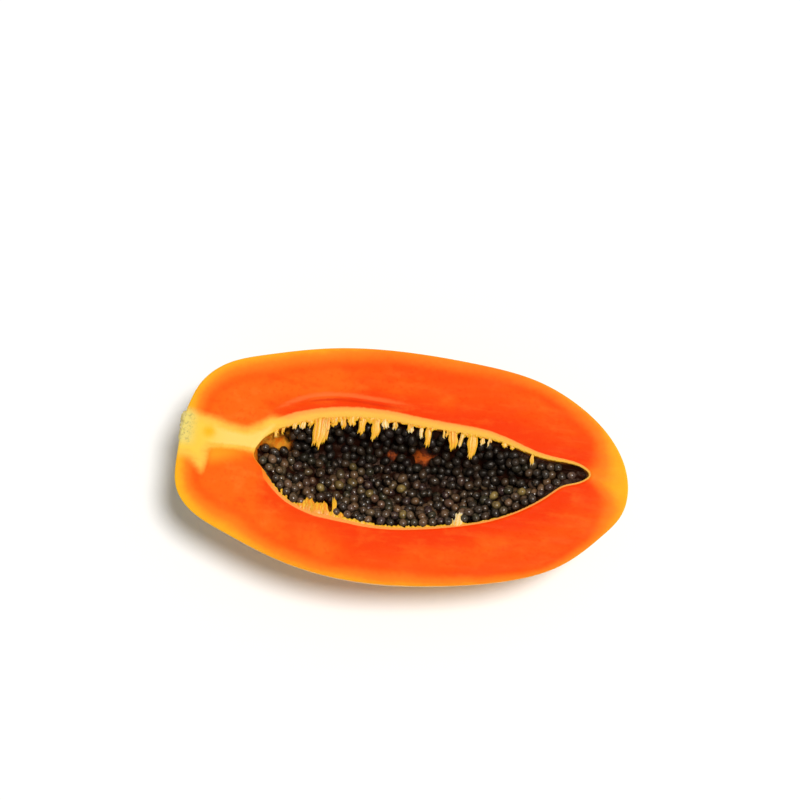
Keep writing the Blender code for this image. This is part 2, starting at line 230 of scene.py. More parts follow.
class SeedSettings(bpy.types.PropertyGroup):
    """Number, size and colours of the seeds."""

    radius: length_property("Radius", "Half a seed's width", 0.00208)
    spacing: length_property("Spacing", "The least between two seeds' centres", 0.0036)
    heaps: bpy.props.FloatProperty(
        name="Heaps", description="Share of the wall on which seeds lie two deep", subtype="FACTOR",
        min=0, max=1, default=0.6,
    )
    dark: colour_property("Dark", "Most seeds", 32, 24, 18)
    brown: colour_property("Brown", "The brownest seeds", 114, 84, 56)
    pale: colour_property("Pale", "The unripe seeds", 158, 134, 74)
    # Near black: the pulp's own dark colour, deepened to paint the shade between the seeds as well
    pulp: colour_property("Pulp", "The wet pulp between the seeds", 34, 12, 5)
    seed: bpy.props.IntProperty(name="Random seed", description="Start of the seeds' places", min=0, default=11)


class StageSettings(bpy.types.PropertyGroup):
    """Floor, lights and camera."""

    azimuth: bpy.props.FloatProperty(
        name="Azimuth", description="Turn of the camera round the fruit", subtype="ANGLE", unit="ROTATION",
        default=math.radians(6.5),
    )
    elevation: bpy.props.FloatProperty(
        name="Elevation", description="Height of the camera's view", subtype="ANGLE", unit="ROTATION",
        default=math.radians(78),
    )
    distance: length_property("Distance", "From the camera to the cut face", 1.0267)
    lens: bpy.props.FloatProperty(name="Lens", description="Focal length in millimetres", min=1, default=100)
    floor: colour_property("Floor", "The white floor", 250, 249, 248)
    sky: bpy.props.FloatProperty(name="Sky", description="Light from all round", min=0, default=0.23)
    key: bpy.props.FloatProperty(name="Key", description="Strength of the main light", min=0, default=2.58)


# ---------------------------------------------------------------- shapes


def smooth_loop(knots):
    """SPAN_POINTS points from knot to knot on the smooth closed curve through the knots.

    Each coordinate is a periodic cubic over the chord length, with slopes that keep its bend continuous."""
    count = len(knots)
    step = np.linalg.norm(np.roll(knots, -1, axis=0) - knots, axis=1)
    before = np.roll(step, 1)
    chord = (np.roll(knots, -1, axis=0) - knots) / step[:, None]
    index = np.arange(count)
    system = np.zeros((count, count))
    system[index, index] = 2 * (step + before)
    system[index, index - 1] = step
    system[index, (index + 1) % count] = before
    slope = np.linalg.solve(system, 3 * (before[:, None] * chord + step[:, None] * np.roll(chord, 1, axis=0)))
    t = np.linspace(0, 1, SPAN_POINTS, endpoint=False)[None, :, None]
    start, end = knots[:, None], np.roll(knots, -1, axis=0)[:, None]
    rise = (slope * step[:, None])[:, None]
    fall = (np.roll(slope, -1, axis=0) * step[:, None])[:, None]
    points = (
        (2 * t**3 - 3 * t**2 + 1) * start
        + (t**3 - 2 * t**2 + t) * rise
        + (3 * t**2 - 2 * t**3) * end
        + (t**3 - t**2) * fall
    )
    return points.reshape(-1, 2)


def walk(curve, share):
    """Points at these shares of a curve's length."""
    steps = np.linalg.norm(np.diff(curve, axis=0), axis=1)
    along = np.concatenate([[0], np.cumsum(steps)]) / steps.sum()
    return np.stack([np.interp(share, along, curve[:, k]) for k in (0, 1)], axis=-1)


class Profile:
    """A rounded body under the cut plane, whose outline there is a smooth closed curve.

    Rings stand on the chords that join the outline's upper and lower side, each ring half an ellipse."""

    def __init__(self, upper, lower, roundness):
        self.outline = smooth_loop(np.array(upper + lower[::-1], float))
        tip = (len(upper) - 1) * SPAN_POINTS
        self.roundness = roundness
        self.upper = self.outline[: tip + 1]
        self.lower = np.vstack([self.outline[tip:], self.outline[:1]])[::-1]

    def point(self, share, turn):
        """The surface: the chord's middle + half the chord x cos(turn), and down by its half length x sin(turn).

        The turn is 0 at the upper rim, pi/2 at the bottom and pi at the lower rim."""
        top, bottom = walk(self.upper, share), walk(self.lower, share)
        half = (top - bottom) / 2
        flat = (top + bottom) / 2 + half * np.cos(turn)[..., None]
        drop = np.linalg.norm(half, axis=-1) * self.roundness * np.sin(turn)
        return np.concatenate([flat, -drop[..., None]], axis=-1)

    def depth(self, share):
        """How deep the body is at these shares of its length."""
        return -self.point(share, np.full(np.shape(share), math.pi / 2))[..., 2]

    def inward(self, share, turn):
        """The unit normal that points into the body, from differences along both parameters."""
        step = 1e-3
        along = self.point(share + step, turn) - self.point(share - step, turn)
        around = self.point(share, turn + step) - self.point(share, turn - step)
        return unit(np.cross(around, along))


def unit(vectors):
    """The vectors at length 1."""
    return vectors / np.maximum(np.linalg.norm(vectors, axis=-1, keepdims=True), 1e-12)


def ripple(points, pitch, seed, waves=28):
    """Smooth noise of about -1 to 1: a sum of sine waves in random directions, their lengths near the pitch."""
    rng = np.random.default_rng(seed)
    ways = unit(rng.normal(size=(waves, points.shape[-1])))
    ways *= math.tau / (pitch * rng.uniform(0.7, 1.6, (waves, 1)))
    return np.sin(points @ ways.T + rng.uniform(0, math.tau, waves)).sum(axis=-1) / math.sqrt(waves)


def ease(values, low, high):
    """0 below low and 1 above high, with the smooth step 3t^2 - 2t^3 between them."""
    t = np.clip((values - low) / (high - low), 0, 1)
    return t * t * (3 - 2 * t)


def band(table, share, column=1):
    """The value in this column of a table, from row to row along the shares in its first column."""
    columns = np.array(table).T
    return np.interp(share, columns[0], columns[column])


def distance_to(points, line):
    """The distance on the cut plane from each point to the nearest piece of a closed line of points."""
    nearest = np.full(points.shape[:-1], np.inf)
    for start, end in zip(line, np.roll(line, -1, axis=0)):
        way = end - start
        share = np.clip((points - start) @ way / max(way @ way, 1e-12), 0, 1)
        gap = points - start - share[..., None] * way
        nearest = np.minimum(nearest, np.einsum("...k,...k", gap, gap))
    return np.sqrt(nearest)


def inside(points, line):
    """Whether each point is inside a closed line: a ray from it along +X crosses the line an odd number of times."""
    odd = np.zeros(points.shape[:-1], bool)
    for (x0, y0), (x1, y1) in zip(line, np.roll(line, -1, axis=0)):
        spans = (y0 > points[..., 1]) != (y1 > points[..., 1])
        reach = x0 + (points[..., 1] - y0) * (x1 - x0) / (y1 - y0 if y1 != y0 else 1e-9)
        odd ^= spans & (points[..., 0] < reach)
    return odd


def bare(points, grow=0.0):
    """How far each point lies inside the bare spots of the wall: above 0 inside one, in shares of its size.

    A spot is an ellipse whose border a noise pushes in and out by about a fifth."""
    depth = np.full(points.shape[:-1], -np.inf)
    torn = 1 + 0.2 * ripple(points, 5, 33) + 0.1 * ripple(points, 2, 34)
    for (x, y), a, b in BARE_SPOTS:
        away = np.hypot((points[..., 0] - x) / (a + grow), (points[..., 1] - y) / (b + grow))
        depth = np.maximum(depth, 1 - away * torn)
    return depth


# ---------------------------------------------------------------- meshes


def grid_faces(rows, columns, start=0, wrap=False):
    """The quads of a grid of points, row by row; wrap joins the last column to the first."""
    index = np.arange(rows * columns).reshape(rows, columns) + start
    right = np.roll(index, -1, axis=1) if wrap else index[:, 1:]
    left = index if wrap else index[:, :-1]
    return np.stack([left[:-1], right[:-1], right[1:], left[1:]], axis=-1).reshape(-1, 4)


def repeat_faces(one, count, size):
    """The faces of this many bodies that are alike, from those of one, which has this many points."""
    return (one[None] + (np.arange(count) * size)[:, None, None]).reshape(-1, 4)


def place_object(name, data):
    """Puts a new object with this data into the scene, at the origin."""
    made = bpy.data.objects.new(name, data)
    bpy.context.scene.collection.objects.link(made)
    return made


def make_piece(name, stands_for, materials, points, faces, values=None, kinds=None):
    """A smooth closed mesh, from millimetres about the cut plane.

    stands_for is the finish, which is not used, and the CAD node, whose part is hidden; values are the mesh's
    attributes, kinds each face's material number.
    Points that meet are merged, which closes seams and poles, and the faces of each closed body point outwards."""
    mesh = bpy.data.meshes.new(name)
    place = np.asarray(points, float).reshape(-1, 3) + (0, 0, CUT_HEIGHT)
    mesh.from_pydata((place / PER_METRE).tolist(), [], faces.tolist())
    for key, value in (values or {}).items():
        layer = mesh.attributes.new(key, "FLOAT", "POINT")
        layer.data.foreach_set("value", np.asarray(value, np.float32).ravel())
    for material in materials:
        mesh.materials.append(material)
    if kinds is not None:
        mesh.polygons.foreach_set("material_index", np.asarray(kinds, np.int32))
    shape = bmesh.new()
    shape.from_mesh(mesh)
    bmesh.ops.remove_doubles(shape, verts=shape.verts, dist=1e-7)
    bmesh.ops.recalc_face_normals(shape, faces=shape.faces)
    if shape.calc_volume(signed=True) < 0:
        bmesh.ops.reverse_faces(shape, faces=shape.faces)
    open_edges = sum(not edge.is_manifold for edge in shape.edges)
    if open_edges:
        raise RuntimeError(f"{name} isn't closed: {open_edges} open edges")
    shape.to_mesh(mesh)
    shape.free()
    mesh.shade_smooth()
    mesh.update()

    piece = place_object(name, mesh)
    slot, node = stands_for
    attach(piece, "root")
    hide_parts(node)


# ---------------------------------------------------------------- shaders


class Wire:
    """A socket of a node tree, with arithmetic that adds Math nodes."""

    def __init__(self, socket):
        self.socket = socket

    def node(self, kind, settings=None, inputs=None, output=0):
        """Adds a node of this type: first its settings or its ramp's stops, then its sockets' values or links."""
        tree = self.socket.id_data
        made = tree.nodes.new(kind)
        for key, value in (settings or {}).items():
            if key == "stops":
                set_stops(made.color_ramp.elements, value)
            else:
                setattr(made, key, value)
        for key, value in (inputs or {}).items():
            if isinstance(value, Wire):
                tree.links.new(value.socket, made.inputs[key])
            else:
                made.inputs[key].default_value = value
        return Wire(made.outputs[output])

    def maths(self, operation, *values):
        """Adds a Math node."""
        return self.node("ShaderNodeMath", {"operation": operation}, dict(enumerate(values)))

    def __add__(self, other):
        return self.maths("ADD", self, other)

    def __sub__(self, other):
        return self.maths("SUBTRACT", self, other)

    def __rsub__(self, other):
        return self.maths("SUBTRACT", other, self)

    def __mul__(self, other):
        return self.maths("MULTIPLY", self, other)

    __radd__, __rmul__ = __add__, __mul__

    def ease(self, low, high):
        """0 to 1 from low to high, as a smooth step, or 1 to 0 where low is above high."""
        flip = low > high
        ends = {"From Min": min(low, high), "From Max": max(low, high)}
        sides = {"To Min": float(flip), "To Max": float(not flip)}
        settings = {"interpolation_type": "SMOOTHSTEP"}
        return self.node("ShaderNodeMapRange", settings, {"Value": self, **ends, **sides})

    def blend(self, first, second):
        """Mixes two colours with this as the factor."""
        first, second = (tint if isinstance(tint, Wire) else (*tint[:3], 1) for tint in (first, second))
        return self.node("ShaderNodeMix", {"data_type": "RGBA"}, {0: self, 6: first, 7: second}, output=2)

    def stretched(self, x, y, z):
        """These coordinates, times a factor along each axis."""
        return self.node("ShaderNodeVectorMath", {"operation": "MULTIPLY"}, {0: self, 1: (x, y, z)})

    def part(self, axis):
        """One of the three numbers of these coordinates."""
        return self.node("ShaderNodeSeparateXYZ", {}, {0: self}, output="XYZ".index(axis))

    def noise(self, scale, detail=2.0, roughness=0.5, distortion=0.0):
        """Noise of about 0.2 to 0.8 at these coordinates, with this many lumps a metre."""
        return self.node(
            "ShaderNodeTexNoise", {},
            {"Vector": self, "Scale": scale, "Detail": detail, "Roughness": roughness, "Distortion": distortion},
        )

    def cells(self, scale):
        """The distance from each point to the nearest of random points, this many a metre."""
        return self.node("ShaderNodeTexVoronoi", {"feature": "F1"}, {"Vector": self, "Scale": scale})

    def bumps(self, strength, distance):
        """A normal that is tilted by this height."""
        return self.node("ShaderNodeBump", {}, {"Strength": strength, "Distance": distance, "Height": self})


def set_stops(elements, stops):
    """Sets the stops of a colour ramp, given as (position, colour)."""
    while len(elements) < len(stops):
        elements.new(1)
    for element, (position, colour) in zip(elements, stops):
        element.position, element.color = position, (*colour[:3], 1)


def new_material(name, specular, subsurface=(), **constants):
    """A material, its shader and its Object coordinates.

    The shader's sockets take constants: the specular level, the weight, scale and radius of the subsurface, and the
    others by name, with _ for each space."""
    material = bpy.data.materials.new(name)
    material.use_nodes = True
    tree = material.node_tree
    shader = tree.nodes["Principled BSDF"]
    shader.inputs["Specular IOR Level"].default_value = specular
    for key, value in zip(("Weight", "Scale", "Radius"), subsurface):
        shader.inputs[f"Subsurface {key}"].default_value = value
    for key, value in constants.items():
        shader.inputs[key.replace("_", " ")].default_value = value
    place = Wire(tree.nodes.new("ShaderNodeTexCoord").outputs["Object"])
    return material, shader, place


def layered(colour, *layers):
    """The colour, with others laid over it one after another, each given as (factor, colour)."""
    for factor, tint in layers:
        colour = factor.blend(colour, tint)
    return colour


def measured(place, name):
    """One of the mesh's own attributes."""
    return place.node("ShaderNodeAttribute", {"attribute_name": name}, output=2)


def plug(shader, inputs):
    """Links wires to the sockets of these names."""
    for key, value in inputs.items():
        shader.id_data.links.new(value.socket, shader.inputs[key])


def flesh_material(settings):
    """Wet orange flesh: redder round the hollow and lighter to the stem, with rind, lining and pale core.

    The crease has a painted highlight on its ridge and painted shade in the groove under it. The core has a yellow
    spot, the scar's specks at its stem end, and a light orange halo under its lower border."""
    material, shader, place = new_material("papaya_flesh", 0.03, (0.1, 0.004, (1.0, 0.35, 0.1)), Coat_Roughness=0.3)
    from_hollow, rind, lining, core, crease, core_spot, stem_side = (
        measured(place, name) for name in (
            "from_hollow", "rind", "lining", "core", "crease", "core_spot", "stem_side",
        )
    )
    along, side = place.part("X"), place.part("Y")
    broad = place.stretched(1, 1.6, 1).noise(38, 3, 0.55)
    clouds = place.stretched(0.6, 1, 1).noise(120, 3, 0.6)
    streaks = place.stretched(0.22, 1, 1).noise(300, 3, 0.6)
    mottle = place.noise(520, 3, 0.6)

    near = (from_hollow + (broad - 0.5) * 16).ease(17, 3)
    # The crease's painted highlight above 0 and its painted shade below 0, made ragged by the mottle
    crease_highlight_and_shade = crease + (mottle - 0.5) * 0.5
    edge = rind + (broad - 0.5) * 0.4 + (mottle - 0.5) * 0.12
    rind_colour = edge.node("ShaderNodeValToRGB", {"stops": [
        (0.0, settings.rind), (0.22, linear(251, 168, 34)), (0.5, linear(252, 130, 28)), (1.0, settings.flesh),
    ]}, {0: edge})

    wisps = lining + (mottle - 0.5) * 0.16 + (broad - 0.5) * 0.3
    lining_colour = layered(
        settings.lining,
        ((wisps + (streaks - 0.5) * 0.4).ease(0.25, 0.95), linear(252, 164, 74)),
        (side.ease(0.006, -0.004), linear(253, 158, 74)),
        (along.ease(-0.054, -0.062) * side.ease(0.004, 0), linear(250, 130, 36)),
    )

    sharper = side.ease(0.008, 0.002) * along.ease(-0.091, -0.087)
    funnel = (core + (mottle - 0.5) * 1.6 + (broad - 0.5) * 2.0) * (sharper + 1.0)
    palest = along.ease(-0.094, -0.08).blend(linear(251, 205, 74), linear(253, 213, 108))
    stem_end = along.ease(-0.094, -0.101) * side.ease(-0.002, 0.003)
    core_colour = layered(
        settings.core,
        (streaks.ease(0.4, 0.7) * 0.6, linear(251, 176, 56)),
        (funnel.ease(1.6, 4.4), palest),
        (stem_end, linear(238, 214, 118)),
        (stem_end * place.noise(560, 4, 0.7).ease(0.45, 0.68) * 0.7, linear(172, 156, 92)),
    )
    halo = (side - (along + 0.075) * 0.25).ease(-0.0075, 0) * side.ease(0.004, 0.001)
    halo = halo * along.ease(-0.092, -0.086) * (along.ease(-0.07, -0.086) * 0.45 + 0.45)
    spot = (core_spot + (mottle - 0.5) * 1.5).ease(4.6, 0.5)

    colour = layered(
        settings.flesh,
        ((broad + stem_side * 0.6 - 0.12).ease(0.3, 0.75), settings.flesh_light),
        (near * (0.75 - along.ease(-0.06, -0.067) * 0.65), settings.flesh_deep),
        (clouds.ease(0.52, 0.72) * (0.25 + stem_side * 0.45), linear(250, 120, 34)),
        (clouds.ease(0.48, 0.3) * (0.25 + stem_side * 0.3), linear(246, 64, 2)),
        (streaks.ease(0.5, 0.72) * 0.25, settings.flesh_light),
        (mottle.ease(0.5, 0.75) * 0.3, settings.flesh_deep),
        # Painted highlight on the crease's ridge and painted shade in the groove under it
        (crease_highlight_and_shade.ease(0.1, 0.9) * 0.7, linear(254, 116, 52)),
        (crease_highlight_and_shade.ease(-0.2, -1.0) * 0.8, linear(226, 50, 0)),
        (edge.ease(1.25, 0.6), rind_colour),
        (wisps.ease(1.15, 0.88), lining_colour),
        (halo, linear(249, 160, 32)),
        (funnel.ease(-3.0, 2.0), core_colour),
        (spot * 0.85, linear(246, 183, 22)),
    )
    plug(shader, {
        "Base Color": colour,
        "Roughness": 0.4 + mottle * 0.2 + rind.ease(0.6, 0.0) * 0.12,
        "Coat Weight": streaks.ease(0.35, 0.7) * 0.02,
        "Normal": (mottle * 0.6 + streaks * 0.5).bumps(0.2, 0.0004),
    })
    return material


def wall_material(settings, seed_settings):
    """The hollow's wall: pale at the rim, orange below it and, as painted shade, darker brown deep down, and dark
    with pulp where seeds cover it, partly painted shade between the seeds.
    """
    material, shader, place = new_material(
        "papaya_hollow_wall", 0.3, (0.1, 0.003, (1.0, 0.35, 0.1)), Coat_Weight=0.2, Coat_Roughness=0.25
    )
    along, uncovered = place.part("X"), measured(place, "uncovered")
    under = measured(place, "under_rim") + along.ease(0.064, 0.08) * 2.6
    lumps, fine = place.noise(260, 3, 0.6), place.noise(900, 2, 0.5)
    shallow = lumps.ease(0.35, 0.65).blend(linear(250, 122, 16), linear(255, 168, 44))
    # Darker brown for the bare wall deep in the hollow: painted shade
    deep = lumps.ease(0.4, 0.62).blend(linear(204, 92, 26), linear(112, 44, 14))
    rim = along.ease(-0.066, -0.058).blend(linear(250, 136, 40), settings.lining)
    # Where seeds cover the wall it takes the pulp's near black, partly painted shade between the seeds
    covered = (under + (lumps - 0.5) * 2).ease(2.6, 5.5) * (uncovered + (fine - 0.5) * 0.5).ease(0.75, 0.1)
    colour = layered(
        rim,
        # Painted shade: the bare wall turns darker brown deep in the hollow
        ((under + (lumps - 0.5) * 3).ease(0.3, 2.6), under.ease(12, 18).blend(shallow, deep)),
        (covered, seed_settings.pulp),
    )
    plug(shader, {
        "Base Color": colour, "Roughness": 0.32 + fine * 0.2, "Normal": (lumps + fine * 0.4).bumps(0.6, 0.0009),
    })
    return material


def skin_material(settings):
    """Ripe skin: yellow-orange, green towards the stem, with darker streaks, specks and fine pores."""
    material, shader, place = new_material("papaya_skin", 0.4, (0.05, 0.002, (1.0, 0.6, 0.1)), Coat_Roughness=0.3)
    stem_side, under = measured(place, "stem_side"), measured(place, "under_rim")
    broad = place.stretched(0.7, 1, 1).noise(26, 4, 0.6)
    patches = place.stretched(0.5, 1, 1).noise(85, 4, 0.62, 0.4)
    grain = place.noise(1400, 2, 0.5)
    freckles, pores = place.stretched(0.75, 1, 1).cells(330), place.cells(900)
    green = (stem_side * 0.75 + (broad - 0.5) * 1.5 + (patches - 0.5) * 0.9 - 0.2).ease(0.1, 0.75)
    speck = (freckles + (patches - 0.5) * 0.5).ease(0.18, 0.06) * broad.ease(0.38, 0.56)
    colour = layered(
        settings.skin,
        (broad.ease(0.35, 0.7), linear(242, 182, 34)),
        (green * 0.9, settings.skin_green),
        (green * patches.ease(0.52, 0.7) * 0.75, linear(104, 128, 38)),
        (patches.ease(0.6, 0.8) * 0.4, linear(206, 108, 14)),
        (speck * 0.55, linear(112, 84, 26)),
        (grain.ease(0.55, 0.75) * 0.14, linear(255, 206, 80)),
        (under.ease(2.2, 0.2), settings.rind),
    )
    plug(shader, {
        "Base Color": colour,
        "Roughness": 0.34 + patches * 0.18 + speck * 0.2,
        "Coat Weight": 0.25 - speck * 0.2,
        "Normal": (pores.ease(0.25, 0.0) * 0.5 + patches * 0.6 + speck * 0.5).bumps(0.4, 0.0004),
    })
    return material


def scar_material():
    """The corky stem scar: darker in the middle and at its edge, and pale where it was cut."""
    material, shader, place = new_material("papaya_stem_scar", 0.3)
    cut, out, rough = measured(place, "cut"), measured(place, "out"), place.noise(900, 4, 0.65)
    cork = layered(
        linear(150, 124, 82),
        ((out + (rough - 0.5) * 0.5).ease(0.4, 0.75), linear(202, 184, 134)),
        (rough.ease(0.5, 0.75) * 0.4, linear(112, 90, 56)),
        ((out + (rough - 0.5) * 0.2).ease(0.84, 0.98), linear(136, 122, 58)),
    )
    pale = rough.ease(0.35, 0.7).blend(linear(246, 226, 150), linear(232, 206, 112))
    plug(shader, {
        "Base Color": cut.ease(0.2, 0.8).blend(cork, pale), "Roughness": 0.6 + rough * 0.2,
        "Normal": rough.bumps(0.8, 0.0008),
    })
    return material


def strand_material(settings):
    """Pale, wet fibre, paler on some strands and orange at their roots."""
    material, shader, place = new_material(
        "papaya_strand", 0.3, (0.25, 0.002, (1.0, 0.5, 0.2)), Coat_Weight=0.2, Coat_Roughness=0.25
    )
    tone, fine = measured(place, "tone"), place.noise(800, 3, 0.6)
    colour = layered(
        settings.colour,
        (tone.ease(0.7, 1.2), settings.pale),
        (tone.ease(0.35, 0.0) * 0.8, linear(248, 142, 26)),
        (fine.ease(0.5, 0.75) * 0.4, linear(240, 146, 44)),
    )
    plug(shader, {"Base Color": colour, "Roughness": 0.35 + fine * 0.2, "Normal": fine.bumps(0.5, 0.0005)})
    return material


def seed_material(name, settings, pale):
    """A wet seed in its thin clear coat, wrinkled a little, each seed with its own tone, darkened and dulled by
    painted shade.
    """
    material, shader, place = new_material(
        name, 0.4, Coat_Roughness=0.2, Specular_Tint=(1.0, 0.88, 0.75, 1), Coat_Tint=(1.0, 0.93, 0.84, 1)
    )
    tone, wrinkles = measured(place, "tone"), place.noise(620, 3, 0.6, 0.6)
    if pale:
        colour = layered(
            settings.pale,
            (tone, linear(104, 84, 44)),
            (wrinkles.ease(0.46, 0.7) * 0.75, linear(66, 50, 28)),
        )
    else:
        tint = measured(place, "tint")
        colour = layered(
            settings.dark,
            (tone.ease(0.3, 1.1), settings.brown),
            (tint.ease(0.72, 0.9) * 0.4, linear(66, 66, 40)),
            (tint.ease(0.26, 0.1) * 0.4, linear(74, 44, 48)),
            (wrinkles.ease(0.5, 0.72) * 0.5, linear(148, 122, 94)),
        )
    # Painted shade: near black and with little coat round each seed's foot and over the seeds in the hollow's upper
    # middle
    soaked = measured(place, "soaked")
    plug(shader, {
        "Base Color": (soaked * 0.85).blend(colour, linear(13, 8, 6)), "Roughness": 0.34 + wrinkles * 0.2,
        "Coat Weight": (0.55 + tone * 0.45) * (1.0 - soaked * 0.8), "Normal": wrinkles.bumps(0.7, 0.0008),
    })
    return material


def pulp_material(settings):
    """The dark wet pulp that the seeds sit in, near black so that it also serves as painted shade between the seeds.
    """
    material, shader, place = new_material("papaya_pulp", 0.12, Specular_Tint=(1.0, 0.7, 0.5, 1))
    lumps = place.noise(420, 3, 0.6)
    colour = lumps.ease(0.58, 0.85).blend(settings.pulp, linear(84, 32, 10))
    plug(shader, {"Base Color": colour, "Roughness": 0.3 + lumps * 0.2, "Normal": lumps.bumps(0.6, 0.0008)})
    return material


# ---------------------------------------------------------------- pieces


SKIN = Profile(SKIN_UPPER, SKIN_LOWER, SKIN_ROUNDNESS)
HOLLOW = Profile(HOLLOW_UPPER, HOLLOW_LOWER, HOLLOW_ROUNDNESS)


def face_height(flat, from_skin, from_hollow, settings):
    """The cut face's height: flat, with long shallow waves, a step at the crease, and both edges rounded down.

    The step is a ridge on the crease's line and a groove 2.1 mm under it, both bell-shaped."""
    waves = ripple(flat, 34, 3) * 0.6 + ripple(flat * (0.35, 1), 7, 4) * 0.4
    calm = ease(from_skin, 0, 4) * ease(from_hollow, 0, 4)
    line, along = crease_line(flat)
    step = along * (0.15 * np.exp(-(line / 1.2) ** 2) - 0.2 * np.exp(-((line + 2.1) / 0.8) ** 2))
    height = settings.waviness * PER_METRE * (waves - 1.2) * calm + step
    height = height - 0.8 * (1 - ease(from_skin, -0.5, 0.7))
    return height - settings.lip * PER_METRE * (1 - ease(from_hollow, -2.0, 2.0)) * 2


def crease_line(flat):
    """How far each point lies above the crease, and how strong the crease is there.

    The crease is the curve of the fourth degree in x that fits its points best."""
    x, y = flat[..., 0], flat[..., 1]
    over = y - np.polyval(np.polyfit(*np.array(CREASE, float).T, 4), np.clip(x, -66, 14))
    return over, ease(x, -66, -52) * ease(-x, -8, 12)


def fade(share, turn):
    """1 in the middle of a rounded body's surface, and 0 on its rim and at both ends."""
    return np.sin(turn) * np.sin(math.pi * share) ** 0.5


def cut_half(settings):
    """Points, faces, attributes and material numbers of the fruit's closed surface, in three patches.

    The back is the skin's surface over share and turn, pressed in by up to 0.7 mm between the fruit's faint lobes,
    and by two noises. The face runs from the skin's outline to the hollow's, with the cells close together at both.
    The wall is the hollow's surface with a noise. The patches meet point by point."""
    share = np.linspace(0, 1, SIDE_CELLS + 1)
    back_share, back_turn = np.meshgrid(share, np.linspace(0, math.pi, BACK_CELLS + 1))
    wall_share, wall_turn = np.meshgrid(share, np.linspace(0, math.pi, WALL_CELLS + 1))

    loops = [
        np.vstack([walk(profile.upper, share), walk(profile.lower, share)[-2:0:-1]]) for profile in (SKIN, HOLLOW)
    ]
    across = (0.5 - 0.5 * np.cos(np.linspace(0, math.pi, FACE_CELLS + 1)))[:, None, None]
    flat = loops[0] * (1 - across) + loops[1] * across
    from_skin, from_hollow = distance_to(flat, loops[0]), distance_to(flat, loops[1])
    face = np.dstack([flat, face_height(flat, from_skin, from_hollow, settings)])

    back = SKIN.point(back_share, back_turn)
    lobes = 0.35 * (1 + np.cos(5 * back_turn + 0.6)) + 0.25 * (1 + ripple(back, 45, 5)) + 0.12 * ripple(back, 12, 6)
    back += SKIN.inward(back_share, back_turn) * (lobes * fade(back_share, back_turn))[..., None]
    back[..., 2] = np.maximum(back[..., 2] + face[0, 0, 2], -CUT_HEIGHT)
    wall = HOLLOW.point(wall_share, wall_turn)
    rough = (0.3 * ripple(wall, 9, 8) - 0.2) * fade(wall_share, wall_turn)
    wall += HOLLOW.inward(wall_share, wall_turn) * rough[..., None]
    wall[..., 2] += face[-1, 0, 2]

    side = np.concatenate([share, share[-2:0:-1]])
    is_upper = np.arange(len(side)) <= SIDE_CELLS

    def column(upper, lower, number=1):
        """A column of the two sides' tables along the loops."""
        return np.where(is_upper, band(upper, side, number), band(lower, side, number))

    rind = column(RIND_UPPER, RIND_LOWER) + from_skin / column(RIND_UPPER, RIND_LOWER, 2)
    funnel = np.array(CORE_FUNNEL)
    core = distance_to(flat, funnel) * np.where(inside(flat, funnel), 1, -1)
    line, along = crease_line(flat)
    # Painted shade in the groove 2.2 mm under the crease; the crease value is the painted highlight on its ridge
    # less this
    below = ease(flat[..., 0], -52, -40) * np.exp(-(line + 2.2) ** 2)
    flat_values = {
        "from_hollow": from_hollow, "rind": rind, "lining": from_hollow / column(LINING_UPPER, LINING_LOWER),
        "core": core, "core_spot": np.linalg.norm(flat - CORE_SPOT, axis=-1),
        "crease": along * (np.exp(-((line / 1.3) ** 2)) - below),
    }
    patches = [back, face, wall]
    values = {
        key: np.concatenate([np.zeros(back.size // 3), value.ravel(), np.zeros(wall.size // 3)])
        for key, value in flat_values.items()
    }
    points = np.vstack([patch.reshape(-1, 3) for patch in patches])
    values["under_rim"] = -points[:, 2]
    values["uncovered"] = bare(points[:, :2])
    values["stem_side"] = ease(-points[:, 0], -10, 100)

    faces, start = [], 0
    for patch, wrap in zip(patches, (False, True, False)):
        faces.append(grid_faces(*patch.shape[:2], start, wrap))
        start += patch.size // 3
    kinds = np.repeat([0, 1, 2], [len(group) for group in faces])
    return points, np.vstack(faces), values, kinds


def stem_scar():
    """Points, faces and attributes of the scar: half of a round corky dome with a raised edge and a sunk middle.

    It is a grid of radius and angle below the cut plane, repeated flat inside the fruit and closed along its
    border."""
    centre, radius, rise, seat_depth = np.array([-102.2, 7.5, -0.15]), 7.5, 1.9, 3.0
    share, angle = np.meshgrid(np.linspace(0, 1, 25), np.linspace(math.pi, math.tau, 49))
    wobble = 1 + 0.06 * np.sin(3 * angle + 1) + 0.04 * np.sin(7 * angle)
    across, down = radius * share * np.cos(angle) * wobble, radius * share * np.sin(angle) * wobble
    dome = rise * np.sqrt(np.clip(1 - share**2, 0, 1)) * (0.75 + 0.35 * ease(share, 0.35, 0.75))
    seat = np.stack([across, down], axis=-1)
    dome = dome + 0.18 * ripple(seat, 2.2, 9) * ease(share, 1, 0.8)
    front = np.stack([-dome, across, down], axis=-1) + centre
    back = np.stack([np.full_like(dome, seat_depth), across, down], axis=-1) + centre
    rows, columns = front.shape[:2]
    size = rows * columns
    index = np.arange(size).reshape(rows, columns)
    rim = index[:, -1]
    top = np.concatenate([index[0, ::-1], index[-1, 1:]])
    walls = [np.stack([line[:-1], line[1:], line[1:] + size, line[:-1] + size], axis=-1) for line in (rim, top)]
    faces = np.vstack([grid_faces(rows, columns), grid_faces(rows, columns, size), *walls])
    points = np.vstack([front.reshape(-1, 3), back.reshape(-1, 3)])
    return points, faces, {"cut": ease(points[:, 2], -1.0, -0.3), "out": np.tile(share.ravel(), 2)}


